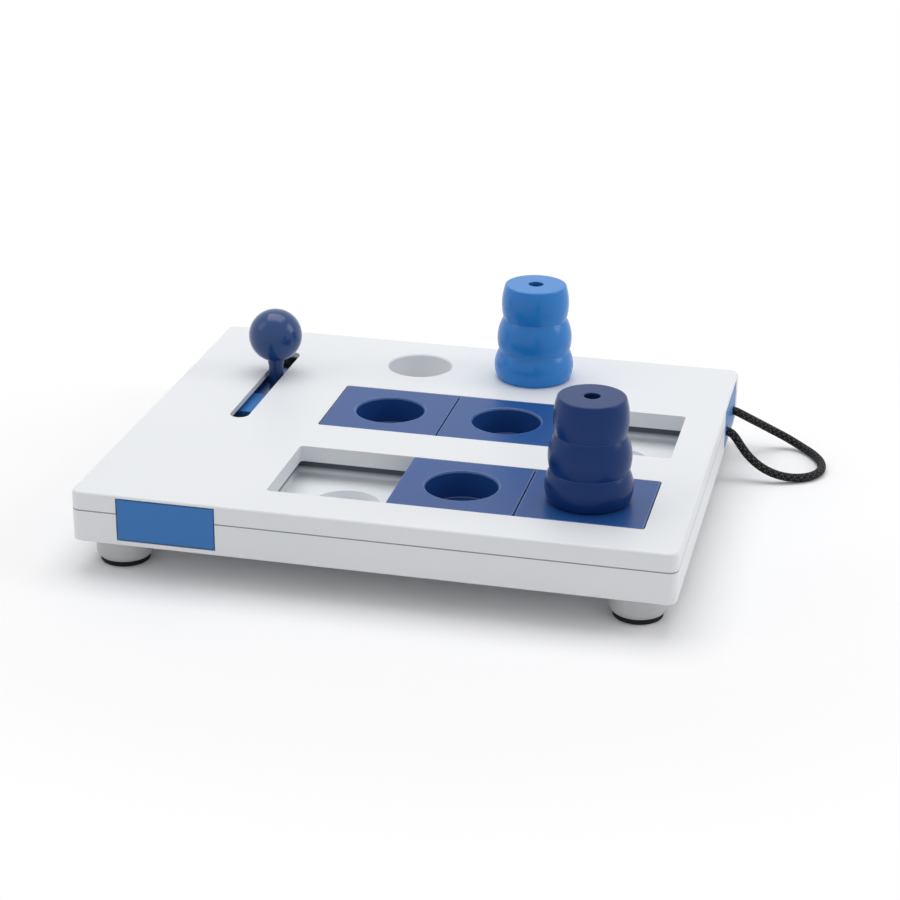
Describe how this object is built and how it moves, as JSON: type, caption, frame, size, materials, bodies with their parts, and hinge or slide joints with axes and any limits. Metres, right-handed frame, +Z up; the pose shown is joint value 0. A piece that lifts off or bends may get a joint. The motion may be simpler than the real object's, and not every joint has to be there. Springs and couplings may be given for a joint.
{
  "type": "dog puzzle feeder toy",
  "caption": "Flat board on feet that hides dog treats under sliding tiles, lift-off lobed cones, a lever drawer and a rope drawer.",
  "frame": {"origin": "on the floor below the centre of the board", "axes": "+X to the right along the long side, +Y to the back, +Z up; the lever drawer opens towards -Y and the rope drawer towards +X"},
  "size_m": [0.2951, 0.211, 0.0797],
  "materials": {
    "white_shell": "satin moulded, fine even grain",
    "tray_grey": "matt moulded",
    "tile_navy": "satin moulded",
    "cone_light_blue": "satin moulded",
    "cone_dark_blue": "satin moulded",
    "lever_navy": "soft gloss",
    "drawer_blue": "satin moulded",
    "foot_grey": "satin moulded",
    "pad_rubber": "matt",
    "screw_steel": "zinc plated",
    "rope_black": "braided cord"
  },
  "bodies": {
    "root": {"top_cover": "white_shell", "base_shell": "white_shell", "front_tray": "tray_grey", "rear_tray": "tray_grey", "case_screws": "screw_steel", "foot_front_left": "foot_grey", "foot_front_right": "foot_grey", "foot_rear_left": "foot_grey", "foot_rear_right": "foot_grey", "foot_pad_front_left": "pad_rubber", "foot_pad_front_right": "pad_rubber", "foot_pad_rear_left": "pad_rubber", "foot_pad_rear_right": "pad_rubber"},
    "rear_left_slider": {"rear_left_tile": "tile_navy"},
    "rear_middle_slider": {"rear_middle_tile": "tile_navy"},
    "front_right_slider": {"front_right_tile": "tile_navy"},
    "front_middle_slider": {"front_middle_tile": "tile_navy"},
    "light_cone_body": {"light_cone": "cone_light_blue"},
    "dark_cone_body": {"dark_cone": "cone_dark_blue"},
    "lever_drawer_body": {"lever_drawer": "drawer_blue"},
    "lever_body": {"lever_knob": "lever_navy", "lever_stem": "lever_navy", "lever_carriage": "lever_navy", "lever_screw": "screw_steel"},
    "rope_drawer_body": {"rope_drawer": "drawer_blue", "pull_rope": "rope_black", "rope_knots": "rope_black"}
  },
  "joints": [
    {"name": "rear_left_tile_slide", "type": "slide", "parent": "root", "child": "rear_left_slider", "axis": [1, 0, 0], "range_m": [0, 0.0248]},
    {"name": "rear_middle_tile_slide", "type": "slide", "parent": "rear_left_slider", "child": "rear_middle_slider", "axis": [1, 0, 0], "range_m": [0, 0.0248]},
    {"name": "front_right_tile_slide", "type": "slide", "parent": "root", "child": "front_right_slider", "axis": [-1, 0, 0], "range_m": [0, 0.0248]},
    {"name": "front_middle_tile_slide", "type": "slide", "parent": "front_right_slider", "child": "front_middle_slider", "axis": [-1, 0, 0], "range_m": [0, 0.0248]},
    {"name": "light_cone_lift", "type": "slide", "parent": "root", "child": "light_cone_body", "axis": [0, 0, 1], "range_m": [0, 0.06]},
    {"name": "dark_cone_lift", "type": "slide", "parent": "front_right_slider", "child": "dark_cone_body", "axis": [0, 0, 1], "range_m": [0, 0.06]},
    {"name": "lever_drawer_slide", "type": "slide", "parent": "root", "child": "lever_drawer_body", "axis": [0, -1, 0], "range_m": [0, 0.05]},
    {"name": "lever_slide", "type": "slide", "parent": "lever_drawer_body", "child": "lever_body", "axis": [0, -1, 0], "range_m": [-0.0235, 0]},
    {"name": "rope_drawer_slide", "type": "slide", "parent": "root", "child": "rope_drawer_body", "axis": [1, 0, 0], "range_m": [0, 0.045]}
  ]
}
